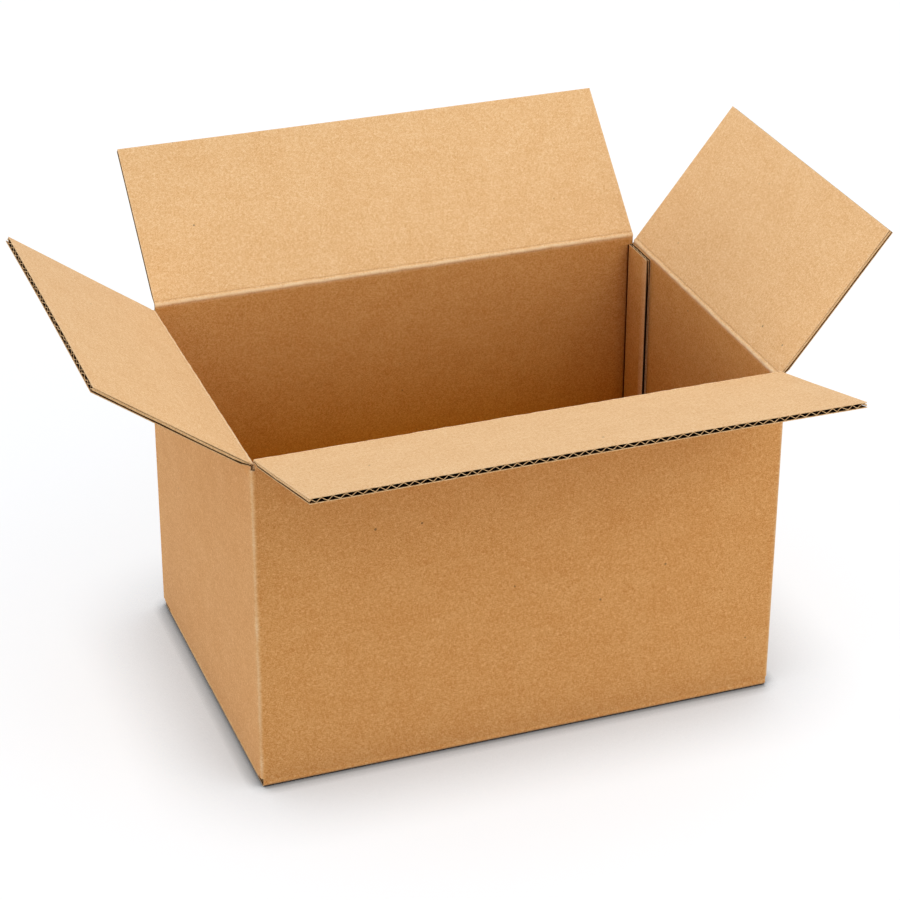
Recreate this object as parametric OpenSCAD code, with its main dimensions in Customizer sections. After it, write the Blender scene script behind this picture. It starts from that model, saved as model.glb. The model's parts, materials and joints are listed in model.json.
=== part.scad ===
// Slotted shipping box of single-wall corrugated board, stood open.
// One sheet, folded and glued, makes the walls and the shut bottom. Four top flaps turn on their scores.

/* [Box] */
// Outer length of the box, along its front
box_l = 400; // [340:10:600]
// Outer width of the box, from front to back
box_w = 270; // [180:10:320]
// Height of the box up to the scores of the top flaps
box_h = 260; // [160:10:400]

/* [Board] */
// Thickness of the corrugated board
board_t = 4; // [3:0.5:5]
// Thickness of each flat liner
liner_t = 0.4; // [0.2:0.1:0.6]
// Thickness of the waved medium between the liners
medium_t = 0.4; // [0.2:0.1:0.6]
// Distance from one flute to the next
flute_pitch = 7.8; // [6:0.2:10]
// Outside radius of the upright folds and the bottom folds
fold_r = 3; // [1:0.5:5]

/* [Flaps] */
// Gap between the two long top flaps when they are shut
meet_gap = 6; // [2:1:20]
// Cut-back of each long flap from the inner faces of the end walls
long_clear = 0.5; // [0:0.5:4]
// Room between a shut end flap and the long walls beside it
end_clear = 1.5; // [0.5:0.5:4]
// Cut-back of the long bottom flaps from the outer faces of the end walls
foot_inset = 1.5; // [0.5:0.5:4]
// Gap between the long bottom flaps at their seam
seam_gap = 1; // [0.5:0.5:6]
// Depth of the corner slots below the lower scores
slot_drop = 3; // [1:0.5:8]
// Room between the end flaps and the long flaps that shut over them
lap_clear = 0.4; // [0.3:0.1:1]

/* [Scores] */
// Diameter of the pressed bead that each flap turns on
bead_d = 2.6; // [1.6:0.2:2.8]
// Room between a bead and the flap around it
bead_clear = 0.3; // [0.2:0.1:0.5]
// How far a flap folds back, in degrees from upright
fold_back = 150; // [110:5:160]

/* [Glue tab] */
// Width of the tab that joins the ends of the sheet
tab_w = 35; // [20:1:60]
// Drop of the tab's ends clear of the flaps at top and bottom
tab_drop = 2; // [1:0.5:10]

/* [Pose] */
// Opening of the front flap, in degrees outward from upright
front_open = 74; // [0:1:130]
// Opening of the back flap, in degrees outward from upright
back_open = 47; // [0:1:130]
// Opening of the left flap, in degrees outward from upright
left_open = 54; // [0:1:130]
// Opening of the right flap, in degrees outward from upright
right_open = 38; // [0:1:130]

/* [Hidden] */
$fn = 48;

kraft = "#c9975f";
kraft_inside = "#ddb27c";

// Depth of every flap, from its score to its free edge
flap_d = box_w / 2 - board_t / 2 - meet_gap / 2;
long_inset = board_t + long_clear;
end_inset = board_t + end_clear;
long_span = box_l - 2 * long_inset;
end_span = box_w - 2 * end_inset;

// The end flaps shut first, so their scores lie one board lower at the top and higher at the bottom
end_score_z = box_h - board_t / 2;
long_score_z = end_score_z + board_t + lap_clear;
long_base_z = 0;
end_base_z = board_t;

// The slots between the flaps leave the upright folds between these heights
slot_top_z = end_score_z - slot_drop;
slot_foot_z = end_base_z + slot_drop;

// Each wall's scored edge is a little wider than the flap that turns on it
long_edge = long_span + 2 * bead_clear;
end_edge = end_span + 2 * bead_clear;

// The long bottom flaps lie outermost, and reach almost to the ends of the box and to its middle
long_foot = box_l - 2 * foot_inset;
long_reach = box_w / 2 - seam_gap / 2;
end_reach = board_t / 2 + flap_d;

// Board beside a score is pressed to two slopes, which meet when the flap is folded back or shut
bead_r = bead_d / 2;
socket_r = bead_r + bead_clear;
press_start = bead_r * 0.8;
shut_angle = 90;
outer_slope = (180 - fold_back) / 2;
inner_slope = (180 - shut_angle) / 2;
function press_run(slope, half) = half / tan(slope) + bead_clear / 2 / sin(slope);
function press_half(slope, run) = (run - bead_clear / 2 / sin(slope)) * tan(slope);
outer_run = press_run(outer_slope, board_t / 2);
inner_run = press_run(inner_slope, board_t / 2);

// Height up to which all the walls keep their full thickness
full_wall_z = min(end_score_z - outer_run, slot_top_z);

// Half height of the medium's wave, and its middle line along the score
wave_h = (board_t - 2 * liner_t - medium_t) / 2;
function wave(x) = -wave_h * cos(360 * x / flute_pitch);
flute_step = 0.16 * flute_pitch;
flute_tip = 0.46 * flute_pitch;

// Moves a shape made for the front wall to the wall that faces the given turn
module on_wall(turn, half_depth) {
    rotate(turn)
        translate([0, -half_depth, 0])
            children();
}

// Extrudes an upright profile along the front wall, centred
module along_wall(span) {
    rotate([90, 0, 90])
        linear_extrude(span, center = true)
            children();
}

// Pressed board above a score: outer face to the left, score at the origin
module pressed_edge(reach) {
    polygon([
        [-press_half(outer_slope, press_start), press_start],
        [press_half(inner_slope, press_start), press_start],
        [board_t / 2, inner_run],
        [board_t / 2, reach],
        [-board_t / 2, reach],
        [-board_t / 2, outer_run]
    ]);
}

// Upright strip of a wall above the bottom slots, with the bead of its top score
module wall_strip(score_z) {
    press_z = score_z - outer_run;
    translate([0, slot_foot_z])
        square([board_t, press_z - slot_foot_z]);
    translate([board_t / 2, score_z]) {
        mirror([0, 1])
            pressed_edge(outer_run);
        circle(bead_r);
    }
}

// Foot of a wall between the bottom slots, bent into its shut flap
module wall_foot(base_z, reach) {
    difference() {
        translate([0, base_z]) {
            square([board_t, slot_foot_z - base_z]);
            square([reach, board_t]);
        }
        translate([0, base_z])
            fold_corner();
    }
}

// What a fold rounds off a square corner at the origin
module fold_corner() {
    difference() {
        square(fold_r);
        translate([fold_r, fold_r])
            circle(fold_r);
    }
}

// Plan of the four walls: three rounded folds, and the raw edge of the right wall over the tab's fold
module wall_plan() {
    difference() {
        square([box_l, box_w], center = true);
        square([box_l - 2 * board_t, box_w - 2 * board_t], center = true);
        translate([-box_l / 2, -box_w / 2])
            fold_corner();
        translate([box_l / 2, -box_w / 2])
            rotate(90)
                fold_corner();
        translate([-box_l / 2, box_w / 2])
            rotate(-90)
                fold_corner();
        translate([box_l / 2 - board_t, box_w / 2])
            rotate(180)
                fold_corner();
    }
}

// Plan of the four upright folds, between the scored edges of the walls
module corner_plan() {
    difference() {
        wall_plan();
        square([long_edge, 2 * box_w], center = true);
        square([2 * box_l, end_edge], center = true);
    }
}

// Tab of the back wall, glued inside the right wall
module glue_tab() {
    foot_z = end_base_z + board_t + tab_drop;
    top_z = end_score_z - board_t / 2 - tab_drop;
    translate([box_l / 2 - 2 * board_t, box_w / 2 - board_t - tab_w, foot_z])
        cube([board_t, tab_w, top_z - foot_z]);
}

// Corrugated board cut across its flutes
module fluted_section(span) {
    flutes = ceil(span / flute_pitch / 2);
    difference() {
        square([span, board_t], center = true);
        for (i = [-flutes : flutes]) {
            translate([i * flute_pitch, 0])
                flute_void();
            translate([(i + 0.5) * flute_pitch, 0])
                mirror([0, 1])
                    flute_void();
        }
    }
}

// Hollow of one flute, between the medium and the inner liner
module flute_void() {
    liner_y = board_t / 2 - liner_t;
    trough = [for (i = [-2 : 2]) [i * flute_step, wave(i * flute_step) + medium_t / 2]];
    polygon(concat([[-flute_tip, liner_y]], trough, [[flute_tip, liner_y]]));
}

// Flap stood upright on its score, with its flutes open at the free edge and closed at the score
module flap(span) {
    translate([0, 0, outer_run])
        linear_extrude(flap_d - outer_run)
            fluted_section(span);
    along_wall(span)
        difference() {
            pressed_edge(outer_run);
            circle(socket_r);
        }
}

module hung_flap(turn, half_depth, score_z, span, opening) {
    on_wall(turn, half_depth)
        translate([0, board_t / 2, score_z])
            rotate([opening, 0, 0])
                flap(span);
}

module box_body() {
    color(kraft) {
        for (turn = [0, 180])
            on_wall(turn, box_w / 2) {
                along_wall(long_edge)
                    wall_strip(long_score_z);
                along_wall(long_foot)
                    wall_foot(long_base_z, long_reach);
            }
        for (turn = [90, 270])
            on_wall(turn, box_l / 2)
                along_wall(end_edge) {
                    wall_strip(end_score_z);
                    wall_foot(end_base_z, end_reach);
                }
        translate([0, 0, slot_foot_z])
            linear_extrude(full_wall_z - slot_foot_z)
                wall_plan();
        translate([0, 0, slot_foot_z])
            linear_extrude(slot_top_z - slot_foot_z)
                corner_plan();
        glue_tab();
    }
}

module front_flap() {
    color(kraft_inside)
        hung_flap(0, box_w / 2, long_score_z, long_span, front_open);
}

module back_flap() {
    color(kraft_inside)
        hung_flap(180, box_w / 2, long_score_z, long_span, back_open);
}

module left_flap() {
    color(kraft_inside)
        hung_flap(270, box_l / 2, end_score_z, end_span, left_open);
}

module right_flap() {
    color(kraft_inside)
        hung_flap(90, box_l / 2, end_score_z, end_span, right_open);
}

box_body();
front_flap();
back_flap();
left_flap();
right_flap();
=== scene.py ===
import json
import math

import bpy
import numpy as np
from mathutils import Matrix, Vector


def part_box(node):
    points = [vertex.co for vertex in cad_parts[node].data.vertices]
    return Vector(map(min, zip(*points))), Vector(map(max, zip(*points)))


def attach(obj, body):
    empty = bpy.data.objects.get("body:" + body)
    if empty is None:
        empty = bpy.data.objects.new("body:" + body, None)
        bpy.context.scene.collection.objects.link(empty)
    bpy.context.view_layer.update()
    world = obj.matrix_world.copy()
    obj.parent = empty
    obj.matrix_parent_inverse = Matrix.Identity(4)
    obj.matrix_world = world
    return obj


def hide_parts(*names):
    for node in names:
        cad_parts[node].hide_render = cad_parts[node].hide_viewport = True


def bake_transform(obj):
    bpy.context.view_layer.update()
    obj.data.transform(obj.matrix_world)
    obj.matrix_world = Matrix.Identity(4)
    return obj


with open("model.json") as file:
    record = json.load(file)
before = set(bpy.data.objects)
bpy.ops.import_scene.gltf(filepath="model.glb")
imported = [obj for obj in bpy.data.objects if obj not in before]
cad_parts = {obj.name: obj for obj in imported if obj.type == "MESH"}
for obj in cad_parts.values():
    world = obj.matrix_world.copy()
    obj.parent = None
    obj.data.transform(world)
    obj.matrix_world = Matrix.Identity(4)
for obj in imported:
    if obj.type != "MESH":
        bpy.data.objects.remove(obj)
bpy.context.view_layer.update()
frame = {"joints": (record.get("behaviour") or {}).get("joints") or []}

mm = 0.001
up = np.array([0.0, 0.0, 1.0])

# sheet of single-wall board that the whole box is folded from
sheet = {
    "board": 4.0 * mm,        # caliper
    "liner": 0.55 * mm,
    "medium": 0.5 * mm,
    "pitch": 7.8 * mm,        # one flute to the next
    "straight": 0.96,        # flanks of the flutes: 0 would be a sine, 1 a zigzag
    "flapDepth": 130.0 * mm,        # score to free edge
    "foldReach": 3.0 * mm,        # an upright or bottom fold bends this far to each side
    "slotDrop": 3.0 * mm,        # slots end this far below the end scores
    "slotFoot": 7.0 * mm,        # and start this far above the floor
    "footInset": 1.5 * mm,        # the long bottom flaps stop this far from the ends of the box
    "seamGap": 1.0 * mm,        # and this far from each other
}
half = sheet["board"] / 2
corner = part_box("box_body")[1]
halfLength, halfWidth = corner.x, corner.y
joints = {joint["child"]: joint for joint in frame["joints"]}
slotTop = joints["left"]["pos_m"][2] - sheet["slotDrop"]

# plan of the board's middle plane, from the raw edge at the back right round to the end of the glue tab
tab = {"width": 35.0 * mm, "topRise": 0.5 * mm, "footLift": 3.0 * mm}
right, left = halfLength - half, half - halfLength
back, front = halfWidth - half, half - halfWidth
tabLine = right - sheet["board"]
tabEnd = halfWidth - sheet["board"] - tab["width"]
plan = np.array([
    (right, halfWidth), (right, front), (left, front),
    (left, back), (tabLine, back), (tabLine, tabEnd),
])
legs = np.linalg.norm(np.diff(plan, axis=0), axis=1)
turns = np.concatenate([[0.0], np.cumsum(legs)])        # run of the sheet at each point of the plan
tabTurn, sheetEnd = turns[4], turns[5]


def wallOf(name, leg):
    # where a wall's score runs: its pivot, its direction along the sheet and the way out of the box
    travel = np.append((plan[leg + 1] - plan[leg]) / legs[leg], 0.0)
    out = np.array([-travel[1], travel[0], 0.0])
    pivot = np.array(joints[name]["pos_m"], float)
    centre = turns[leg] + (pivot - np.append(plan[leg], 0.0)) @ travel
    size = np.array(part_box(name + "_flap")[1]) - np.array(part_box(name + "_flap")[0])
    return {
        "pivot": pivot,
        "travel": travel,
        "out": out,
        "run": centre,        # run of the sheet at the middle of the wall
        "span": float(abs(size @ travel)),
        "opening": math.radians(-joints[name]["range_deg"][0] - 90.0),        # shut is a right angle inward
    }


walls = {name: wallOf(name, leg) for leg, name in enumerate(("right", "front", "left", "back"))}
print("frame:", {name: round(math.degrees(wall["opening"])) for name, wall in walls.items()}, "degrees open")


def smoothStep(t):
    # 0 below 0, 1 above 1, and an S between
    t = np.clip(t, 0.0, 1.0)
    return t * t * (3.0 - 2.0 * t)


def hill(x, middle, reach):
    # bell of height 1 at the middle
    return np.exp(-(((x - middle) / reach) ** 2))


def ripple(x, wave, seed):
    # mean of four sines of wavelengths about the given one, with seeded phases, from -1 to 1
    shares = (0.43, 0.71, 1.0, 1.63)
    phases = np.random.default_rng(seed).uniform(0.0, 2.0 * math.pi, len(shares))
    waves = [np.sin(2.0 * math.pi * x / (wave * share) + phase) for share, phase in zip(shares, phases)]
    return sum(waves) / len(waves)


def unevenFlutes(x, seed, spread):
    # seeded values at every half pitch, joined by straight lines
    draw = np.random.default_rng(seed)
    step = sheet["pitch"] / 2
    knots = np.arange(math.floor(x.min() / step) - 1, math.ceil(x.max() / step) + 2) * step
    return np.interp(x, knots, draw.uniform(-spread, spread, len(knots)))


def fluteWave(turn):
    # sine with straightened flanks, from -1 to 1
    return np.arcsin(sheet["straight"] * np.sin(turn)) / math.asin(sheet["straight"])


def gridQuads(rows, columns, start=0):
    # four corners of every cell of a grid of points
    index = np.arange(rows * columns).reshape(rows, columns) + start
    return np.stack([index[:-1, :-1], index[1:, :-1], index[1:, 1:], index[:-1, 1:]], -1).reshape(-1, 4)


def slab(top, bottom, run, tones, finish):
    # closed layer of board: two grids of one size, each with its tones, and a rim that joins their edges
    rows, columns = top.shape[:2]
    count = rows * columns
    index = np.arange(count).reshape(rows, columns)
    rim = np.concatenate([index[:-1, 0], index[-1, :-1], index[:0:-1, -1], index[0, :0:-1]])
    nextRim = np.roll(rim, -1)
    upper = gridQuads(rows, columns)
    lower = gridQuads(rows, columns, count)[:, ::-1]
    edge = np.stack([nextRim, rim, rim + count, nextRim + count], -1)
    points = np.concatenate([top.reshape(-1, 3), bottom.reshape(-1, 3)])
    quads = np.concatenate([upper, lower, edge])
    a, b, c, d = (points[quads[:, i]] for i in range(4))
    volume = np.einsum("ij,ij->", a, np.cross(b, c)) + np.einsum("ij,ij->", a, np.cross(c, d))
    if volume < 0:        # faces point outwards
        quads = quads[:, ::-1]
    return {
        "points": points,
        "quads": quads,
        "uv": np.concatenate([run.reshape(-1, 2)] * 2),
        "tones": {key: np.concatenate([value.ravel() for value in pair]) for key, pair in tones.items()},
        "finish": np.repeat(finish, (len(upper), len(lower), len(edge))),
    }


sharpTurn = math.radians(38.0)        # edges that turn more than this stay hard


def makePiece(name, layers, materials):
    # joins layers into one mesh, with its run on the flat sheet as UV and its tones as attributes
    starts = np.cumsum([0] + [len(layer["points"]) for layer in layers])
    points = np.concatenate([layer["points"] for layer in layers])
    quads = np.concatenate([layer["quads"] + start for layer, start in zip(layers, starts)])
    uv = np.concatenate([layer["uv"] for layer in layers])
    finish = np.concatenate([layer["finish"] for layer in layers])
    mesh = bpy.data.meshes.new(name)
    mesh.vertices.add(len(points))
    mesh.vertices.foreach_set("co", points.astype(np.float32).ravel())
    mesh.loops.add(quads.size)
    mesh.loops.foreach_set("vertex_index", quads.astype(np.int32).ravel())
    mesh.polygons.add(len(quads))
    mesh.polygons.foreach_set("loop_start", np.arange(0, quads.size, 4, dtype=np.int32))
    mesh.polygons.foreach_set("material_index", finish.astype(np.int32))
    for material in materials:
        mesh.materials.append(material)
    mesh.update(calc_edges=True)
    mesh.uv_layers.new(name="blank").data.foreach_set("uv", uv[quads.ravel()].astype(np.float32).ravel())
    for tone in layers[0]["tones"]:
        values = np.concatenate([layer["tones"][tone] for layer in layers]).astype(np.float32)
        mesh.attributes.new(tone, "FLOAT", "POINT").data.foreach_set("value", values)
    mesh.shade_smooth()
    mesh.set_sharp_from_angle(angle=sharpTurn)
    mesh.validate()
    piece = bpy.data.objects.new(name, mesh)
    bpy.context.scene.collection.objects.link(piece)
    print(name, len(quads) * 2, "triangles")
    return piece


# what each face of the board is made of, as places in the list of materials
outsideFace, insideFace, fluteFace, cutFace = range(4)
innerShift = 3.0        # the inner liner takes its pattern from another part of the paper

# cut edges of the board: its ends, along the flutes, and the flaps' free edges, across them
cutEdge = {
    "lines": np.array([0.0, 0.5, 1.2, 2.0]) * mm,        # grid lines beside an end
    "rubbed": 0.35,        # how pale the liners' edges are rubbed
    "rubbedReach": 0.8 * mm,
    "light": 6.0 * mm,        # at an end, light gets this far in, and the painted shade in the flutes fades over it
    "flank": 2.2,        # and the medium's flank fills the edge, as if it were thicker by this
    "flankReach": 1.1 * mm,
    "clear": 4.0 * mm,        # none of this so near a pressed score
    "frayed": 5.0 * mm,        # at a free edge, flutes are crushed this far in
    "dark": 1.6 * mm,        # and no light is left this far in, where the painted shade is full
}

# painted shade of the inner liner below the scores, browner further down
paintedWell = {
    "rim": 0.7,        # just below them
    "rimStart": 0.3 * mm,
    "rimReach": 3.2 * mm,
    "deep": 0.7,        # and more, further down
    "deepStart": 10.0 * mm,
    "deepReach": 200.0 * mm,
}


def endMedium(distance, flank):
    # thickness of the medium: its own, and a bell at the cut end, where its flank fills the edge
    return sheet["medium"] * (1.0 + flank * hill(distance, 0.0, cutEdge["flankReach"]))


def paintedWellShade(depth):
    # painted shade: one S just below the scores and a slow one down the walls
    rim = paintedWell["rim"] * smoothStep((depth - paintedWell["rimStart"]) / paintedWell["rimReach"])
    return rim + paintedWell["deep"] * smoothStep((depth - paintedWell["deepStart"]) / paintedWell["deepReach"])


def bend(wall, run, x, s, h, angle, reach):
    # board that follows run up to the score and turns about it by the angle within the reach
    # x is along the wall, s along the run from the score, h towards the inside
    turn = angle * smoothStep((s + reach) / (2.0 * reach))
    ahead = s * np.cos(turn) + h * np.sin(turn)
    outward = s * np.sin(turn) - h * np.cos(turn)
    spot = wall["pivot"] + x[..., None] * wall["travel"]
    return spot + ahead[..., None] * run + outward[..., None] * wall["out"]


def boardLayers(board, x, s, waveX, waveS):
    # two liners and the waved medium between them, from the board's own functions of x and s
    place, liner = board["place"], sheet["liner"]
    xx, ss = np.meshgrid(x, s, indexing="ij")
    top, bottom = board["inside"](xx, ss), -board["outside"](xx, ss)
    run, gloom, plain = board["run"](xx, ss), board["gloom"](xx, ss), np.zeros(xx.shape)
    # painted shade: the inner liner is browned down the well
    paintedBrown = paintedWellShade(board["rim"](xx, ss) - run[..., 1])
    tones = {"wear": (board["innerWear"](xx, ss), plain), "shade": (paintedBrown, gloom)}
    faces = (insideFace, fluteFace, cutFace)
    inner = slab(place(xx, ss, top), place(xx, ss, top - liner), run + (innerShift, 0.0), tones, faces)
    tones = {"wear": (plain, board["outerWear"](xx, ss)), "shade": (gloom, plain)}
    faces = (fluteFace, outsideFace, cutFace)
    outer = slab(place(xx, ss, bottom + liner), place(xx, ss, bottom), run, tones, faces)
    xx, ss = np.meshgrid(waveX, waveS, indexing="ij")
    xx = xx * board["drawn"](ss)
    top, bottom = board["inside"](xx, ss) - liner, liner - board["outside"](xx, ss)
    medium = board["thick"](xx, ss)
    middle = (top + bottom) / 2 + np.maximum((top - bottom - medium) / 2, 0.0) * board["wave"](xx, ss)
    tones = {"wear": (0.0 * xx, 0.0 * xx), "shade": (board["gloom"](xx, ss), board["gloom"](xx, ss))}
    faces = (fluteFace, fluteFace, cutFace)
    above, below = place(xx, ss, middle + medium / 2), place(xx, ss, middle - medium / 2)
    return [inner, outer, slab(above, below, board["run"](xx, ss), tones, faces)]


# pressed scores of the top flaps, distances along the board from the score
score = {
    "reach": 1.3 * mm,        # the fold bends this far to each side
    "bead": 0.42 * mm,        # ridge on the inside
    "beadPlace": -0.2 * mm,
    "beadReach": 0.85 * mm,
    "beadRipple": 0.3,        # share of its height that changes slowly along it
    "beadWave": 30.0 * mm,
    "beadBreak": 0.4,        # and from flute to flute
    "wander": 0.25 * mm,        # to both sides of its place
    "wanderWave": 42.0 * mm,
    "jitter": 0.1 * mm,
    "groove": 0.25 * mm,        # dip on the flap's side of the bead
    "groovePlace": 2.0 * mm,
    "grooveReach": 0.6 * mm,
    "grooveBreak": 0.5,
    # painted shade in the dip
    "grooveSoil": 0.2,
    "worn": 0.85 * mm,        # reach of the rubbed fibres on the bead
    "wornBreak": 0.3,
    "pressed": 0.4 * mm,        # half thickness left outside, at the score
    "slope": math.tan(math.radians(15.0)),        # so that the faces meet when a flap is folded right back
    "slopeStart": 0.12 * mm,
}


def beadLine(x, seed):
    # place of the bead, with a slow ripple and a jitter from flute to flute
    wander = score["wander"] * ripple(x, score["wanderWave"], seed + 2)
    return score["beadPlace"] + wander + unevenFlutes(x, seed + 4, score["jitter"])


def innerFace(x, s, seed):
    # flat liner with an uneven bead at the score and a dip beside it, both broken from flute to flute
    swell = score["beadRipple"] * ripple(x, score["beadWave"], seed)
    bead = score["bead"] * (1.0 + swell + score["beadBreak"] * unevenFlutes(x, seed + 1, 1.0))
    groove = score["groove"] * (1.0 + score["grooveBreak"] * unevenFlutes(x, seed + 6, 1.0))
    line = beadLine(x, seed)
    ridge = bead * hill(s, line, score["beadReach"])
    return half + ridge - groove * hill(s, line + score["groovePlace"], score["grooveReach"])


def outerFace(s):
    # liner pressed in along two slopes that meet at the score
    return np.clip(score["slope"] * np.abs(s) - score["slopeStart"], score["pressed"], half)


# top flaps: where their flutes start, how their edges have fared, and how much painted shade shows in the
# flutes at the cut ends (open); bow and grow are in mm, and grow is how far they reach past the CAD's ends
flaps = {
    "front": {"seed": 11, "phase": 0.09, "crush": 0.32, "shift": 0.1, "open": 0.1, "bow": 0.5, "grow": 1.2},
    "back": {"seed": 23, "phase": 0.3, "crush": 0.4, "shift": 0.12, "open": 1.0, "bow": -0.6, "grow": 0.0},
    "left": {"seed": 37, "phase": 0.98, "crush": 1.7, "shift": 0.3, "open": 0.1, "bow": 0.5, "grow": 0.0},
    "right": {"seed": 53, "phase": 0.55, "crush": 0.6, "shift": 0.15, "open": 0.1, "bow": 0.4, "grow": 0.0},
}
flapForm = {
    "step": 2.0 * mm,
    "perFlute": 12,
    "recess": 0.35 * mm,        # the medium stops this short of the liners' edge
    "flank": 2.4,        # as in cutEdge, for ends that aren't open
    "flattest": 0.85,        # most that a flute is crushed
    "drift": 0.08,        # flutes sway by this share of the pitch
    "driftWave": 90.0 * mm,
    "bowStart": 10.0 * mm,
    "bowReach": 40.0 * mm,
    "strip": 0.8 * mm,        # grid step on the wall below the score
    "stripEnd": -3.3 * mm,
    "foldLines": np.arange(-3.0, 3.6, 0.3) * mm,        # grid lines at the score
    "nearLines": np.linspace(4.3, 9.0, 6) * mm,        # beyond it
    "flatStart": 14.0 * mm,        # the grid is wide from here
    "flatEnd": 8.0 * mm,        # to this far back from the free edge
    "waveEnd": 16.0 * mm,        # or this far in the medium
    "sideInset": 3.5 * mm,        # and this far in from the cut ends
    "brinkLines": np.array([3.0, 1.8, 1.2, 0.6, 0.0]) * mm,        # grid lines back from the free edge
    "waveBrink": np.array([11.0, 7.0, 4.0, 2.0, 1.2, 0.6, 0.0]) * mm,
}


def flapLayers(name):
    # wall strip, score and flap of one wall, from the slots' depth to the free edge
    wall, look, pitch = walls[name], flaps[name], sheet["pitch"]
    depth, seed = sheet["flapDepth"], look["seed"]
    low = slotTop - wall["pivot"][2]
    end = wall["span"] / 2 + look["grow"] * mm

    def place(x, s, h):
        # flat board, bowed a little beyond the score
        beyond = smoothStep((s - flapForm["bowStart"]) / flapForm["bowReach"])
        bow = look["bow"] * mm * beyond * (np.cos(math.pi * x / wall["span"]) - 0.5)
        return bend(wall, up, x, s, h + bow, wall["opening"], score["reach"])

    def wave(x, s):
        # even flutes, pushed aside and crushed towards the free edge
        frayed = np.exp(-(depth - s) / cutEdge["frayed"])
        shift = look["shift"] * unevenFlutes(x, seed, pitch) * frayed
        drift = flapForm["drift"] * pitch * ripple(s, flapForm["driftWave"], seed + 3)
        uneven = np.abs(unevenFlutes(x, seed + 5, 1.0)) ** 3
        crush = np.clip(uneven * look["crush"], 0.0, flapForm["flattest"])
        turn = 2.0 * math.pi * ((x + shift + drift) / pitch + look["phase"])
        return fluteWave(turn) * (1.0 - crush * frayed)

    def innerWear(x, s):
        # rubbed along the bead and the cut edges, with painted shade in the dip beside the bead
        line = beadLine(x, seed)
        rubbed = hill(s, line, score["worn"]) * (1.0 + score["wornBreak"] * unevenFlutes(x, seed + 8, 1.0))
        ends = hill(np.abs(x), end, cutEdge["rubbedReach"]) * (s > cutEdge["clear"])
        edges = cutEdge["rubbed"] * np.maximum(hill(s, depth, cutEdge["rubbedReach"]), ends)
        paintedDarkening = score["grooveSoil"] * hill(s, line + score["groovePlace"], score["grooveReach"])
        return rubbed + edges - paintedDarkening

    def outerWear(x, s):
        # rubbed along the cut edges
        ends = hill(np.abs(x), end, cutEdge["rubbedReach"])
        return cutEdge["rubbed"] * np.maximum(hill(s, depth, cutEdge["rubbedReach"]), ends)

    def gloom(x, s):
        # painted shade inside the flutes, less beside cut ends that the medium fills
        beside = look["open"] + (1.0 - look["open"]) * smoothStep((end - np.abs(x)) / cutEdge["light"])
        return beside * smoothStep((depth - s) / cutEdge["dark"])

    def thick(x, s):
        # the medium fills most of a cut end that isn't open, beyond the score
        beyond = smoothStep((s - cutEdge["clear"]) / cutEdge["clear"])
        return endMedium(np.abs(x) - end, flapForm["flank"] * (1.0 - look["open"]) * beyond)

    def run(x, s):
        # place on the flat sheet: along it, and up from the floor
        return np.stack([wall["run"] + x, wall["pivot"][2] + s], -1)

    board = {
        "place": place,
        "inside": lambda x, s: innerFace(x, s, seed),
        "outside": lambda x, s: outerFace(s),
        "wave": wave,
        "innerWear": innerWear,
        "outerWear": outerWear,
        "gloom": gloom,
        "run": run,
        "rim": lambda x, s: wall["pivot"][2],
        "thick": thick,
        "drawn": lambda s: 1.0,
    }
    strip = np.arange(low, flapForm["stripEnd"], flapForm["strip"])
    creased = np.concatenate([strip, flapForm["foldLines"], flapForm["nearLines"]])
    wide = end - flapForm["sideInset"]
    inner = np.linspace(-wide, wide, round(wall["span"] / flapForm["step"]))
    x = np.concatenate([cutEdge["lines"] - end, inner, (end - cutEdge["lines"])[::-1]])
    flat = np.linspace(flapForm["flatStart"], depth - flapForm["flatEnd"], 12)
    s = np.concatenate([creased, flat, depth - flapForm["brinkLines"]])
    waveX = np.linspace(-end, end, round(wall["span"] / pitch * flapForm["perFlute"]))
    waveX = np.unique(np.concatenate([waveX[2:-2], cutEdge["lines"] - end, end - cutEdge["lines"]]))
    waveFlat = np.linspace(flapForm["flatStart"], depth - flapForm["waveEnd"], 6)
    waveS = np.concatenate([creased[::4], waveFlat, depth - flapForm["recess"] - flapForm["waveBrink"]])
    return boardLayers(board, x, s, waveX, waveS)


# shut bottom flaps: the end flaps lie inside, one board higher; the long ones are cut almost to the corners
longFoot = {
    "pivotUp": 0.0,
    "lift": 7.0 * mm,        # height of the foot that belongs to the flap
    "end": halfLength - sheet["footInset"],
    "depth": halfWidth - half - sheet["seamGap"] / 2,
}
endFoot = {
    "pivotUp": 4.0 * mm,
    "lift": 10.0 * mm,
    "end": walls["left"]["span"] / 2,
    "depth": sheet["flapDepth"],
}
bottoms = {
    "front": {**longFoot, "seed": 61},
    "back": {**longFoot, "seed": 67},
    "left": {**endFoot, "seed": 71},
    "right": {**endFoot, "seed": 73},
}
bottomForm = {
    "step": 4.0 * mm,
    "perFlute": 8,
    "startTurn": 0.8,        # of the flutes
    "crush": 0.5,        # most that they are crushed at the free edge
    "pinch": 0.5,        # they are pressed by this share at the fold
    "pinchReach": 2.5 * mm,
    "innerDip": 0.25 * mm,        # dips of the liners along the fold
    "outerDip": 0.15 * mm,
    "dipReach": 2.0 * mm,
    # painted shade in the inner dip along the fold
    "innerSoil": 0.5,
    "rubbed": 0.4,
    "rubbedReach": 1.6 * mm,
    "open": 0.2,        # share of the painted dark left at the cut ends
    "foldEnd": 5.0 * mm,        # the fold's crease reaches this far on to the flap
    "foldFade": 4.0 * mm,
    "flatStart": 12.0 * mm,        # the grid is wide from here
    "hollow": 4.0 * mm,        # the medium is drawn in this far at the fold's open end
    "paler": 160.0 * mm,        # the flaps get the painted well shade that the walls have this much higher up
    "palerReach": 10.0 * mm,
    "waveBrink": np.array([8.0, 3.0, 1.2, 0.35]) * mm,
    "soil": 0.2,        # painted shade near the floor, on the outside
    "soilRise": 16.0 * mm,
}


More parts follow.
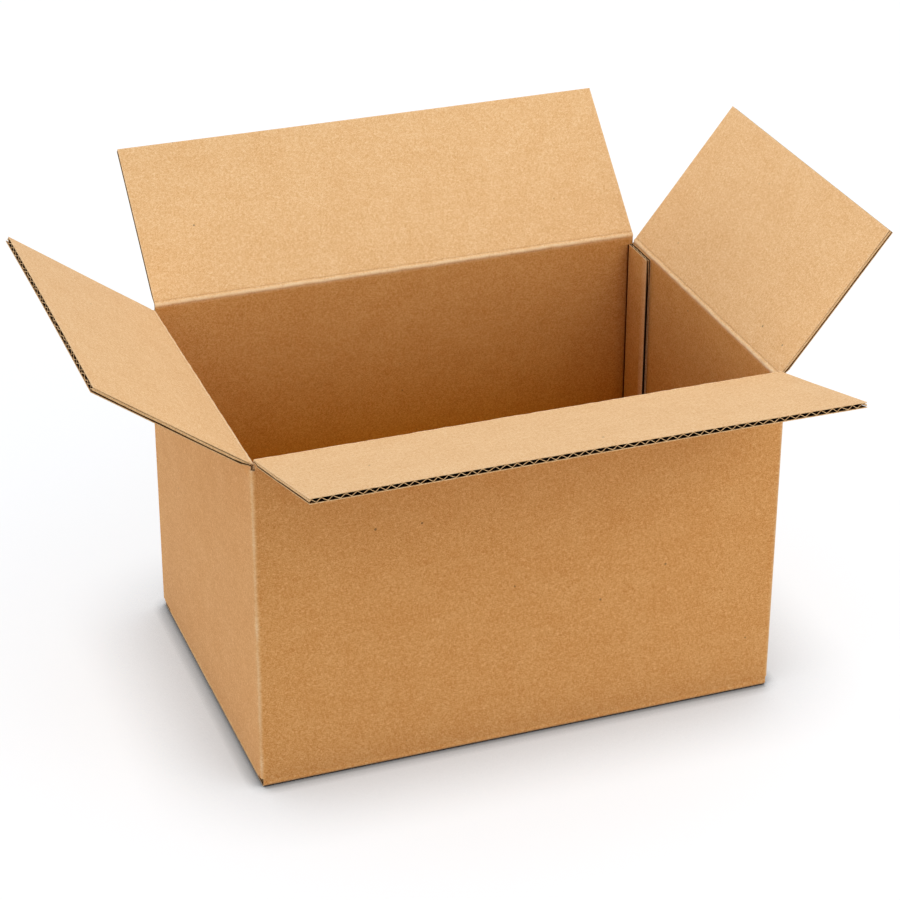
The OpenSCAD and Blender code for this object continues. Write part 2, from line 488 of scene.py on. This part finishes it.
def footPaintedShade(z):
    # painted shade near the floor, fading up the walls
    return bottomForm["soil"] * np.exp(-z / bottomForm["soilRise"])


def bottomLayers(name):
    # foot of one wall, its bottom fold and the flap that lies inward from it
    look, form, pitch = bottoms[name], bottomForm, sheet["pitch"]
    depth, end = look["depth"], look["end"]
    wall = {**walls[name], "pivot": np.array([*walls[name]["pivot"][:2], look["pivotUp"] + half])}
    low = wall["pivot"][2] - look["lift"]

    def wave(x, s):
        # even flutes, crushed towards the free edge and pressed at the fold
        frayed = np.exp(-(depth - s) / cutEdge["frayed"])
        crush = np.abs(unevenFlutes(x, look["seed"], form["crush"])) * frayed
        pinch = form["pinch"] * hill(s, 0.0, form["pinchReach"])
        return fluteWave(2.0 * math.pi * x / pitch + form["startTurn"]) * (1.0 - crush) * (1.0 - pinch)

    def nearFold(s):
        # 1 at the foot and the fold, 0 on the flat of the flap
        return 1.0 - smoothStep((s - form["foldEnd"]) / form["foldFade"])

    def gloom(x, s):
        # painted shade inside the flutes, less beside the cut ends, but full at the fold's open end, a dark
        # hollow
        beside = form["open"] + (1.0 - form["open"]) * smoothStep((end - np.abs(x)) / cutEdge["light"])
        return np.maximum(beside, nearFold(s)) * smoothStep((depth - s) / cutEdge["dark"])

    def outerWear(x, s):
        # rubbed along the fold, with painted shade near the floor
        height = np.maximum(wall["pivot"][2] - s, 0.0)
        return form["rubbed"] * hill(s, 0.0, form["rubbedReach"]) - footPaintedShade(height)

    def rim(x, s):
        # height of the score above, lowered on the flap so that its painted well shade is that of the middle
        # of a wall
        lowered = form["paler"] * smoothStep(s / form["palerReach"])
        return walls[name]["pivot"][2] - lowered - np.maximum(s, 0.0)

    board = {
        "place": lambda x, s, h: bend(wall, -up, x, s, h, -math.pi / 2, sheet["foldReach"]),
        "inside": lambda x, s: half - form["innerDip"] * hill(s, 0.0, form["dipReach"]),
        "outside": lambda x, s: half - form["outerDip"] * hill(s, 0.0, form["dipReach"]),
        "wave": wave,
        "innerWear": lambda x, s: -form["innerSoil"] * hill(s, 0.0, form["dipReach"]),
        "outerWear": outerWear,
        "gloom": gloom,
        "run": lambda x, s: np.stack([wall["run"] + x, wall["pivot"][2] - s], -1),
        "rim": rim,
        "thick": lambda x, s: endMedium(np.abs(x) - end, cutEdge["flank"]),
        "drawn": lambda s: 1.0 - form["hollow"] / end * nearFold(s),
    }
    creased = np.linspace(low, form["foldEnd"], 16)
    x = np.linspace(-end, end, round(end / form["step"]))
    s = np.concatenate([creased, np.linspace(form["flatStart"], depth, 8)])
    waveX = np.linspace(-end, end, round(2.0 * end / pitch * form["perFlute"]))
    waveX = np.unique(np.concatenate([waveX[1:-1], cutEdge["lines"] - end, end - cutEdge["lines"]]))
    waveS = np.concatenate([creased[::3], [form["flatStart"]], depth - form["waveBrink"]])
    return boardLayers(board, x, s, waveX, waveS)


# walls: one run of board round the box
tube = {
    "step": 8.0 * mm,
    "perFlute": 8,
    "height": 0.25,        # of a wall, roughly, for what changes up the walls
    "bulge": 0.7 * mm,        # outward, between the upright folds
    "bulgeShare": 0.6,        # even part of it, and as much again uneven
    "bulgeReach": 60.0 * mm,
    "bulgeWave": 260.0 * mm,
    "bulgeSeed": 5,
    "pressDepth": 12.0 * mm,        # scores press the outside down to this far below the slots
    "pressFade": 1.5 * mm,        # and to this far beside a flap
    "crease": 0.5 * mm,        # dip along the inside of an upright fold
    "tabCrease": 1.7 * mm,
    "creaseReach": 1.5 * mm,
    "cornerRise": 2.3 * mm,        # the upright folds stand up between the flaps
    "cornerReach": 2.4 * mm,
    "cornerFade": 1.2 * mm,
    "ridge": 0.85 * mm,        # reach of the rubbed fibres on an upright fold
    "rubbed": 0.7,
    "rubbedUneven": 0.4,
    "rubbedWave": 22.0 * mm,
    "rubbedSeed": 9,
    "tabRubbed": 0.5,
    "soil": 0.8,        # painted shade along the inside of an upright fold
    "soilReach": 1.6 * mm,
    "tabSoil": 0.5,        # painted shade on the back wall beside the tab
    "tabSoilPlace": 2.0 * mm,
    "tabSoilReach": 2.5 * mm,
    "open": 0.15,        # share of the painted dark left at the raw edge
    "topLight": 0.6,        # less painted dark at the open top of the flutes, where light gets in
    "topLightFrom": 0.99,        # from this share of the height
    "drift": 0.06,        # flutes sway by this share of the pitch
    "driftWave": 80.0 * mm,
    "driftSeed": 13,
    "pinch": 0.6,        # flutes are pressed by this share at an upright fold
    "pinchReach": 2.5 * mm,
    "tabPinch": 0.75,        # and by this at the top of the tab
    "tabPinchFrom": 0.9,        # from this share of its height
    "tabPhase": 0.75,        # where the flutes stand at the tab's cut edge
    "foldLines": np.linspace(-1.0, 1.0, 21) * sheet["foldReach"],        # grid lines at an upright fold
    "slotLines": np.array([-0.2, 0.0, 0.2, 1.5]) * mm,        # and beside a slot
    "flatStart": 4.0 * mm,        # the grid is wide from here beyond a fold
    "flatEnd": 3.5 * mm,        # to this far before the next
    "heights": np.concatenate([np.linspace(0.0, 0.955, 20), np.linspace(0.965, 1.0, 8)]),
    "waveHeights": np.concatenate([[0.002], np.linspace(0.1, 0.9, 5), [0.998]]),
    "waveInset": 0.4 * mm,        # the medium stops this short of the sheet's ends
}


def legOf(run):
    # which leg of the plan this run of the sheet is on
    return np.clip(np.searchsorted(turns, run, side="right") - 1, 0, len(legs) - 1)


def alongPlan(run, h):
    # point of the plan at this run of the sheet, h outward from the board's middle
    # each corner turns a right angle by an S within the fold's reach
    leg = legOf(run)
    ways = np.diff(plan, axis=0) / legs[:, None]
    outs = np.stack([-ways[:, 1], ways[:, 0]], -1)
    spot = plan[leg] + (run - turns[leg])[..., None] * ways[leg] + h[..., None] * outs[leg]
    for i in range(1, len(legs)):
        s = run - turns[i]
        angle = -math.pi / 2 * smoothStep((s + sheet["foldReach"]) / (2.0 * sheet["foldReach"]))
        way = ways[i - 1] * np.cos(angle)[..., None] + outs[i - 1] * np.sin(angle)[..., None]
        out = outs[i - 1] * np.cos(angle)[..., None] - ways[i - 1] * np.sin(angle)[..., None]
        bent = plan[i] + s[..., None] * way + h[..., None] * out
        spot = np.where((np.abs(s) < sheet["foldReach"])[..., None], bent, spot)
    return spot


def cornerRun(run):
    # distance along the sheet to the nearest upright fold
    return np.min(np.abs(run[..., None] - turns[1:-1]), -1)


def overWall(run, wall):
    # 1 on the stretch of wall that carries a flap, 0 on the upright folds
    fade = tube["pressFade"]
    return smoothStep((wall["span"] / 2 + fade - np.abs(run - wall["run"])) / fade)


def overTab(run):
    # 1 on the tab, 0 on the walls
    return smoothStep((run - tabTurn - sheet["foldReach"]) / sheet["foldReach"])


def tubeFoot(run):
    # the walls start where their bottom folds' feet end
    foot = np.full(run.shape, sheet["slotFoot"])
    for name, look in bottoms.items():
        foot = np.where(np.abs(run - walls[name]["run"]) <= look["end"], look["lift"], foot)
    return foot + tab["footLift"] * overTab(run)


def tubeTop(run):
    # level with the slots, higher at the upright folds and on the tab
    atFold = smoothStep((tube["cornerReach"] - cornerRun(run)) / tube["cornerFade"])
    rise = tube["cornerRise"] * atFold * (run < tabTurn - sheet["foldReach"])
    return slotTop + rise + tab["topRise"] * overTab(run)


def tubeLayers():
    # the four walls and the tab, between the foot and the slots; t is the share of that height
    spots = [turns[i] + tube["foldLines"] for i in range(1, 5)]
    stretches = zip(turns[:-1] + tube["flatStart"], turns[1:] - tube["flatEnd"])
    spots += [np.arange(start, end, tube["step"]) for start, end in stretches]
    slots = [(wall, side) for wall in walls.values() for side in (-1, 1)]
    spots += [wall["run"] + side * (wall["span"] / 2 + tube["slotLines"]) for wall, side in slots]
    run = np.unique(np.concatenate([[0.0, sheetEnd]] + spots).round(7))

    def level(run, t):
        # height above the floor
        return tubeFoot(run) + (tubeTop(run) - tubeFoot(run)) * t

    def place(run, t, h):
        # walls bulge a little between their folds
        flat = smoothStep((cornerRun(run) - sheet["foldReach"]) / tube["bulgeReach"]) * (run < tabTurn)
        uneven = tube["bulgeShare"] * (1.0 + ripple(run, tube["bulgeWave"], tube["bulgeSeed"]))
        bulge = tube["bulge"] * flat * np.sin(math.pi * t) * uneven
        return np.concatenate([alongPlan(run, bulge - h), level(run, t)[..., None]], -1)

    def outside(run, t):
        # pressed below the scores
        z, face = level(run, t), np.full(run.shape, half)
        for wall in walls.values():
            pressed = half - outerFace(z - wall["pivot"][2])
            face = face - overWall(run, wall) * pressed * (z > slotTop - tube["pressDepth"])
        return face

    def inside(run, t):
        # dips along the upright folds, the deepest one beside the tab
        dip = tube["crease"] * hill(cornerRun(run), 0.0, tube["creaseReach"])
        return half - dip - (tube["tabCrease"] - tube["crease"]) * hill(run, tabTurn, tube["creaseReach"])

    def outerWear(run, t):
        # rubbed along the upright folds, with painted shade at the foot
        ragged = ripple(t * tube["height"], tube["rubbedWave"], tube["rubbedSeed"])
        rubbed = hill(cornerRun(run), 0.0, tube["ridge"]) * (tube["rubbed"] + tube["rubbedUneven"] * ragged)
        return rubbed - footPaintedShade(level(run, t))

    def innerWear(run, t):
        # painted shade along the upright folds and beside the tab, rubbed at the tab's cut edge
        rubbed = tube["tabRubbed"] * hill(run, sheetEnd, cutEdge["rubbedReach"])
        paintedDarkening = tube["soil"] * hill(cornerRun(run), 0.0, tube["soilReach"])
        besideTab = tube["tabSoil"] * hill(run, tabTurn - tube["tabSoilPlace"], tube["tabSoilReach"])
        return rubbed - paintedDarkening - besideTab

    def gloom(run, t):
        # painted shade inside the flutes, less beside the raw edge and at the top of the tab
        beside = tube["open"] + (1.0 - tube["open"]) * smoothStep(run / cutEdge["light"])
        top = smoothStep((t - tube["topLightFrom"]) / (1.0 - tube["topLightFrom"]))
        return beside * (1.0 - tube["topLight"] * top)

    def rim(run, t):
        # height of the score above, by the leg of the plan
        tops = [walls[name]["pivot"][2] for name in ("right", "front", "left", "back", "right")]
        return np.array(tops)[legOf(run)]

    def wave(run, t):
        # even flutes, flattened at the upright folds and at the top of the tab
        sway = ripple(t * tube["height"], tube["driftWave"], tube["driftSeed"])
        drift = tube["drift"] * sheet["pitch"] * sway
        tabTop = smoothStep((t - tube["tabPinchFrom"]) / (1.0 - tube["tabPinchFrom"])) * (run > tabTurn)
        pinch = tube["pinch"] * hill(cornerRun(run), 0.0, tube["pinchReach"])
        turn = 2.0 * math.pi * ((run - sheetEnd + drift) / sheet["pitch"] + tube["tabPhase"])
        return fluteWave(turn) * (1.0 - pinch) * (1.0 - tube["tabPinch"] * tabTop)

    board = {
        "place": place,
        "inside": inside,
        "outside": outside,
        "wave": wave,
        "innerWear": innerWear,
        "outerWear": outerWear,
        "gloom": gloom,
        "run": lambda run, t: np.stack([run, level(run, t)], -1),
        "rim": rim,
        "thick": lambda run, t: endMedium(run, cutEdge["flank"]),
        "drawn": lambda t: 1.0,
    }
    count = round(sheetEnd / sheet["pitch"] * tube["perFlute"])
    waveRun = np.linspace(tube["waveInset"], sheetEnd - tube["waveInset"], count)
    return boardLayers(board, run, tube["heights"], waveRun, tube["waveHeights"])


def linear(code):
    # sRGB hex to linear colour, by the standard curve
    level = np.array([int(code[i:i + 2], 16) for i in (0, 2, 4)]) / 255.0
    return (*np.where(level <= 0.04045, level / 12.92, ((level + 0.055) / 1.055) ** 2.4).tolist(), 1.0)


def addNode(tree, kind, values, stops=(), **settings):
    # one node: plain settings, a ramp's colour stops, then sockets that are given a value or a link
    node = tree.nodes.new("ShaderNode" + kind)
    for key, value in settings.items():
        setattr(node, key, value)
    for i, (position, code) in enumerate(stops):
        stop = node.color_ramp.elements[i] if i < 2 else node.color_ramp.elements.new(position)
        stop.position, stop.color = position, linear(code)
    for key, value in values.items():
        if isinstance(value, bpy.types.NodeSocket):
            tree.links.new(value, node.inputs[key])
        else:
            node.inputs[key].default_value = value
    return node


def newMaterial(name):
    # empty material and its tree of nodes
    material = bpy.data.materials.new(name)
    material.use_nodes = True
    material.node_tree.nodes.clear()
    return material, material.node_tree


# mixes of colours: sockets 0, 6 and 7 are the share, the first and the second colour
blend = {"data_type": "RGBA"}
# multiplying mix, used to paint shade
paintedShadeMix = {"data_type": "RGBA", "blend_type": "MULTIPLY"}

# unbleached kraft paper: a matte felt of fibres, paler and darker ones crossing, with a few dark specks
kraft = {
    "thread": 1.45 * mm,        # spacing of the fibres, drawn coarser than real ones so that they show
    "stretch": 2.6,        # fibres are this many times longer than wide
    "width": 0.05,        # part of the noise's range that counts as fibre
    "cover": 0.2,        # share of the paper that a lay covers
    "lays": {0.15: 0.22, -0.5: 0.21, 0.9: 0.17, 1.8: -0.19},        # angle of each lay: paler by this
    "grain": 0.9 * mm,
    "grainShare": 0.25,
    "cloud": 26.0 * mm,        # uneven formation of the paper
    "cloudShare": 0.18,
    "streak": 5.0 * mm,        # faint flow marks along the paper's run
    "streakShare": 0.1,
    "streakStretch": 0.12,
    "speck": 17.0 * mm,        # about one dark speck in a square of this size
    "speckDraw": 0.45,        # this share of them is left out
    "speckSize": 0.07,        # largest, in squares
    "speckSoft": 0.022,
    "speckDark": 0.65,
    "speckColour": "5A3A1C",
    "coarser": 0.45,        # fibres stand out more where the well's shade is painted
    # colour of the painted shade in creases, corners and at the foot
    "soil": "8C6A50",
    "fuzz": 0.35,        # rubbed paper shows its fibres
    "roughness": 0.72,
    "ior": 1.5,
    "specular": 0.5,
    "sheen": 0.12,        # loose fibres catch light at a grazing angle
    "sheenRoughness": 0.45,
    "dull": 0.6,        # painted shade at which neither of these is left
    "bump": 0.12,
    "bumpDepth": 0.4 * mm,
}


def fibreTone(tree, place):
    # half, plus a ridge where each lay's stretched noise crosses its middle, plus grain, clouds and streaks
    tone = 0.5
    size = (1.0 / (kraft["thread"] * kraft["stretch"]), 1.0 / kraft["thread"], 1.0)
    for angle, share in kraft["lays"].items():
        turned = addNode(tree, "Mapping", {"Vector": place, "Rotation": (0.0, 0.0, angle)}).outputs[0]
        laid = addNode(tree, "Mapping", {"Vector": turned, "Scale": size}).outputs[0]
        lay = addNode(tree, "TexNoise", {"Vector": laid, "Scale": 1.0, "Detail": 1.0})
        away = addNode(tree, "Math", {0: lay.outputs["Fac"], 1: 0.5}, operation="SUBTRACT").outputs[0]
        away = addNode(tree, "Math", {0: away}, operation="ABSOLUTE").outputs[0]
        limits = {"From Max": kraft["width"], "To Min": 1.0, "To Max": 0.0}
        ridge = addNode(tree, "MapRange", {"Value": away, **limits}).outputs[0]
        even = addNode(tree, "Math", {0: ridge, 1: kraft["cover"]}, operation="SUBTRACT").outputs[0]
        tone = addNode(tree, "Math", {0: even, 1: share, 2: tone}, operation="MULTIPLY_ADD").outputs[0]
    size = (kraft["streakStretch"], 1.0, 1.0)
    pulled = addNode(tree, "Mapping", {"Vector": place, "Scale": size}).outputs[0]
    for spot, key in ((place, "grain"), (place, "cloud"), (pulled, "streak")):
        noise = addNode(tree, "TexNoise", {"Vector": spot, "Scale": 1.0 / kraft[key], "Detail": 3.0})
        even = addNode(tree, "Math", {0: noise.outputs["Fac"], 1: 0.5}, operation="SUBTRACT").outputs[0]
        share = kraft[key + "Share"]
        tone = addNode(tree, "Math", {0: even, 1: share, 2: tone}, operation="MULTIPLY_ADD").outputs[0]
    return tone


def speckMask(tree, place):
    # small spots at the cells' middles, many of them too small to show
    cell = addNode(tree, "TexVoronoi", {"Vector": place, "Scale": 1.0 / kraft["speck"]})
    draw = addNode(tree, "SeparateColor", {"Color": cell.outputs["Color"]}).outputs[0]
    limits = {"From Min": kraft["speckDraw"], "To Max": kraft["speckSize"]}
    reach = addNode(tree, "MapRange", {"Value": draw, **limits}).outputs[0]
    depth = addNode(tree, "Math", {0: reach, 1: cell.outputs["Distance"]}, operation="SUBTRACT").outputs[0]
    limits = {"From Max": kraft["speckSoft"], "To Max": kraft["speckDark"]}
    return addNode(tree, "MapRange", {"Value": depth, **limits}).outputs[0]


def kraftLiner(name, look):
    # fibres give the colour its life; painted shade browns the well and darkens creases, corners and the
    # foot, and ridges are rubbed pale
    material, tree = newMaterial(name)
    place = addNode(tree, "TexCoord", {}).outputs["UV"]
    wear = addNode(tree, "Attribute", {}, attribute_name="wear").outputs["Fac"]
    shade = addNode(tree, "Attribute", {}, attribute_name="shade").outputs["Fac"]
    tone = fibreTone(tree, place)
    # fibres show more strongly where shade is painted
    stronger = {0: shade, 1: kraft["coarser"], 2: 1.0}
    coarse = addNode(tree, "Math", stronger, operation="MULTIPLY_ADD").outputs[0]
    away = addNode(tree, "Math", {0: tone, 1: 0.5}, operation="SUBTRACT").outputs[0]
    tone = addNode(tree, "Math", {0: away, 1: coarse, 2: 0.5}, operation="MULTIPLY_ADD").outputs[0]
    dark, pale = (0.5 - look["contrast"], look["dark"]), (0.5 + look["contrast"], look["pale"])
    fibres = addNode(tree, "ValToRGB", {"Fac": tone}, (dark, pale, (0.5, look["mid"]))).outputs["Color"]
    # painted shade: the inner liner is browned by the deep colour down the well
    paintedBrown = addNode(tree, "Mix", {0: 1.0, 6: fibres, 7: linear(look["deep"])}, **paintedShadeMix).outputs[2]
    colour = addNode(tree, "Mix", {0: shade, 6: fibres, 7: paintedBrown}, **blend, clamp_factor=False).outputs[2]
    specks = speckMask(tree, place)
    colour = addNode(tree, "Mix", {0: specks, 6: colour, 7: linear(kraft["speckColour"])}, **blend).outputs[2]
    # painted shade: negative wear darkens towards the shade colour
    paintedDarkening = addNode(tree, "Math", {0: wear, 1: -1.0}, operation="MULTIPLY", use_clamp=True).outputs[0]
    colour = addNode(tree, "Mix", {0: paintedDarkening, 6: colour, 7: linear(kraft["soil"])}, **paintedShadeMix).outputs[2]
    fuzz = addNode(tree, "Math", {0: tone, 1: kraft["fuzz"]}, operation="ADD").outputs[0]
    rubbed = addNode(tree, "Math", {0: wear, 1: fuzz}, operation="MULTIPLY", use_clamp=True).outputs[0]
    colour = addNode(tree, "Mix", {0: rubbed, 6: colour, 7: linear(look["worn"])}, **blend).outputs[2]
    felt = addNode(tree, "TexNoise", {"Vector": place, "Scale": 1.0 / kraft["grain"], "Detail": 1.0})
    relief = {"Strength": kraft["bump"], "Distance": kraft["bumpDepth"]}
    bump = addNode(tree, "Bump", {"Height": felt.outputs["Fac"], **relief}).outputs[0]
    # sheen and specular fade out where shade is painted
    limits = {"From Max": kraft["dull"], "To Min": 1.0, "To Max": 0.0}
    shiny = addNode(tree, "MapRange", {"Value": shade, **limits}).outputs[0]
    sheen = addNode(tree, "Math", {0: shiny, 1: kraft["sheen"]}, operation="MULTIPLY").outputs[0]
    specular = addNode(tree, "Math", {0: shiny, 1: kraft["specular"]}, operation="MULTIPLY").outputs[0]
    shader = addNode(tree, "BsdfPrincipled", {
        "Base Color": colour,
        "Normal": bump,
        "Roughness": kraft["roughness"],
        "IOR": kraft["ior"],
        "Specular IOR Level": specular,
        "Sheen Weight": sheen,
        "Sheen Roughness": kraft["sheenRoughness"],
    })
    addNode(tree, "OutputMaterial", {"Surface": shader.outputs[0]})
    return material


# raw edge of paper: torn fibres without shine
rawPaper = {
    "darkFrom": 0.32,
    "paleFrom": 0.68,
    "unlit": "1C0F06",        # painted shade where no light gets in
    "bump": 0.2,
    "bumpDepth": 0.3 * mm,
    "roughness": 0.88,
    "specular": 0.2,
}


def fibreEdge(name, look):
    # raw paper at a cut or inside the flutes: coarse grain, no shine, and painted darker where no light gets
    # in
    material, tree = newMaterial(name)
    place = addNode(tree, "TexCoord", {}).outputs["Object"]
    coarse = {"Vector": place, "Scale": 1.0 / look["grain"], "Detail": 3.0}
    grain = addNode(tree, "TexNoise", coarse).outputs["Fac"]
    stops = ((rawPaper["darkFrom"], look["dark"]), (rawPaper["paleFrom"], look["pale"]))
    fibres = addNode(tree, "ValToRGB", {"Fac": grain}, stops).outputs["Color"]
    shade = addNode(tree, "Attribute", {}, attribute_name="shade").outputs["Fac"]
    dim = addNode(tree, "Math", {0: shade, 1: look["dim"]}, operation="MULTIPLY", use_clamp=True).outputs[0]
    colour = addNode(tree, "Mix", {0: dim, 6: fibres, 7: linear(rawPaper["unlit"])}, **blend).outputs[2]
    relief = {"Strength": rawPaper["bump"], "Distance": rawPaper["bumpDepth"]}
    bump = addNode(tree, "Bump", {"Height": grain, **relief}).outputs[0]
    shader = addNode(tree, "BsdfPrincipled", {
        "Base Color": colour,
        "Normal": bump,
        "Roughness": rawPaper["roughness"],
        "Specular IOR Level": rawPaper["specular"],
    })
    addNode(tree, "OutputMaterial", {"Surface": shader.outputs[0]})
    return material


outsideLook = {
    "pale": "F4C487", "mid": "E2A65F", "dark": "CF8B42", "contrast": 0.275,
    "worn": "F4D2A4", "deep": "FFFFFF",        # no painted well shade outside
}
insideLook = {
    "pale": "F9D4A3", "mid": "EDC087", "dark": "DBA667", "contrast": 0.27,
    # deep: the colour of the painted well shade
    "worn": "FADDB2", "deep": "DCBF8A",
}
finishes = [
    kraftLiner("kraftLinerOutside", outsideLook),
    kraftLiner("kraftLinerInside", insideLook),
    fibreEdge("flutingMedium", {"pale": "B98C5B", "dark": "94683C", "grain": 2.0 * mm, "dim": 0.97}),
    fibreEdge("cutPaperEdge", {"pale": "F3D3A6", "dark": "D2A672", "grain": 1.2 * mm, "dim": 0.0}),
]
print("materials:", [material.name for material in finishes])

bodyLayers = tubeLayers()
for name in bottoms:
    bodyLayers += bottomLayers(name)
boxPiece = makePiece("boxWalls", bodyLayers, finishes)
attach(boxPiece, "box")
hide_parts("box_body")

for name, wall in walls.items():
    piece = makePiece(name + "Flap", flapLayers(name), finishes)
    reach = score["reach"] * math.cos(wall["opening"] / 2)
    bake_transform(piece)
    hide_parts(name + "_flap")
print("box and flaps made")


def seenDirectly(tree):
    # 1 for rays from the camera, also by way of a mirror or glass, 0 for light that falls on the box
    path = addNode(tree, "LightPath", {}).outputs
    seen = addNode(tree, "Math", {0: path["Is Camera Ray"], 1: path["Is Glossy Ray"]}, operation="MAXIMUM")
    rays = {0: seen.outputs[0], 1: path["Is Transmission Ray"]}
    return addNode(tree, "Math", rays, operation="MAXIMUM").outputs[0]


# white paper sweep under the box, bright enough to the camera to be white, with the box's shadow left in it:
# real shadow from the lamps and a painted shadow from ambient occlusion
floor = {
    "size": 12.0,
    "level": -0.3 * mm,
    "glow": 0.69,
    "paper": "A3A7AC",
    "contact": (4.0 * mm, 12.0 * mm),        # reaches of the painted dark line under the box
    "wide": 88.0 * mm,        # and of the painted soft shadow round it
    "samples": 4,        # rays that look for what stands near
    "bounce": "B6A794",        # what the box gets back from it
}
white = (1.0, 1.0, 1.0, 1.0)
x, y = np.meshgrid([-floor["size"], floor["size"]], [-floor["size"], floor["size"]], indexing="ij")
floorMesh = bpy.data.meshes.new("floor")
corners = np.stack([x, y, 0 * x + floor["level"]], -1).reshape(-1, 3)
floorMesh.from_pydata(corners.tolist(), [], [(0, 2, 3, 1)])
floorPiece = bpy.data.objects.new("floor", floorMesh)
bpy.context.scene.collection.objects.link(floorPiece)
paper, tree = newMaterial("whiteSweepPaper")
contact = white
for reach in floor["contact"]:
    near = {"Color": contact, "Distance": reach}
    contact = addNode(tree, "AmbientOcclusion", near, samples=floor["samples"]).outputs["Color"]
around = {"Color": contact, "Distance": floor["wide"]}
shadow = addNode(tree, "AmbientOcclusion", around, samples=floor["samples"])
# painted shadow: the glow is darkened by the ambient occlusion round the box
glow = addNode(tree, "Emission", {"Color": shadow.outputs["Color"], "Strength": floor["glow"]})
# painted shade: the paper's colour is darkened in the dark line under the box
paperTone = addNode(tree, "Mix", {0: 1.0, 6: linear(floor["paper"]), 7: contact}, **paintedShadeMix).outputs[2]
paperLit = addNode(tree, "BsdfDiffuse", {"Color": paperTone})
bright = addNode(tree, "AddShader", {0: glow.outputs[0], 1: paperLit.outputs[0]})
bounce = addNode(tree, "BsdfDiffuse", {"Color": linear(floor["bounce"])})
sweep = addNode(tree, "MixShader", {0: seenDirectly(tree), 1: bounce.outputs[0], 2: bright.outputs[0]})
addNode(tree, "OutputMaterial", {"Surface": sweep.outputs[0]})
floorMesh.materials.append(paper)

# studio: slightly warm surroundings that are white to the camera
studio = {"around": 0.4, "aroundTint": (1.0, 0.97, 0.92, 1.0)}
world = bpy.data.worlds.new("studio")
world.use_nodes = True
tree = world.node_tree
tree.nodes.clear()
around = addNode(tree, "Background", {"Color": studio["aroundTint"], "Strength": studio["around"]})
backdrop = addNode(tree, "Background", {"Color": white, "Strength": 1.0})
sky = addNode(tree, "MixShader", {0: seenDirectly(tree), 1: around.outputs[0], 2: backdrop.outputs[0]})
addNode(tree, "OutputWorld", {"Surface": sky.outputs[0]})
bpy.context.scene.world = world

# far softboxes: a broad one overhead and a low one at the left
lamps = {
    "softboxOverhead": {"power": 1.34, "spread": 115.0, "from": (0.0, 0.05, 1.0), "tint": (0.98, 1.0, 1.05)},
    "softboxLeft": {"power": 1.26, "spread": 26.0, "from": (-1.0, -0.12, 0.03), "tint": (0.98, 1.0, 1.05)},
}
for name, look in lamps.items():
    softbox = bpy.data.lights.new(name, "SUN")
    softbox.energy = look["power"]
    softbox.angle = math.radians(look["spread"])
    softbox.color = look["tint"]
    lamp = bpy.data.objects.new(name, softbox)
    lamp.rotation_euler = Vector(look["from"]).to_track_quat("Z", "Y").to_euler()
    bpy.context.scene.collection.objects.link(lamp)

# panel at the front right, near enough to light that end of the front wall more
panel = {
    "power": 11.5,
    "size": 1.5,
    "tint": (1.0, 0.96, 0.9),
    "place": (0.95, -1.45, 1.05),
    "aim": (0.0, -0.1, 0.13),
}
keyLight = bpy.data.lights.new("softboxFront", "AREA")
keyLight.energy = panel["power"]
keyLight.size = panel["size"]
keyLight.color = panel["tint"]
keyLamp = bpy.data.objects.new("softboxFront", keyLight)
keyLamp.location = panel["place"]
keyLamp.rotation_euler = (Vector(panel["place"]) - Vector(panel["aim"])).to_track_quat("Z", "Y").to_euler()
keyLamp.visible_camera = False
bpy.context.scene.collection.objects.link(keyLamp)

# camera as the box is seen: a long lens, from the front left and above
camera = {
    "lens": 111.2,
    "sensor": 36.0,
    "near": 0.05,        # metres that it sees from and to
    "far": 60.0,
    "place": (-0.6429, -1.7239, 1.1494),
    "aim": (0.0031, 0.0280, 0.1555),
    "roll": 0.16,
}
lens = bpy.data.cameras.new("camera")
lens.lens = camera["lens"]
lens.sensor_width = camera["sensor"]
lens.clip_start = camera["near"]
lens.clip_end = camera["far"]
view = bpy.data.objects.new("camera", lens)
aim = Vector(camera["aim"]) - Vector(camera["place"])
turned = aim.to_track_quat("-Z", "Y").to_matrix() @ Matrix.Rotation(math.radians(camera["roll"]), 3, "Z")
view.matrix_world = Matrix.Translation(camera["place"]) @ turned.to_4x4()
bpy.context.scene.collection.objects.link(view)
bpy.context.scene.camera = view
bpy.context.scene.view_settings.view_transform = "Standard"
print("studio and camera set")
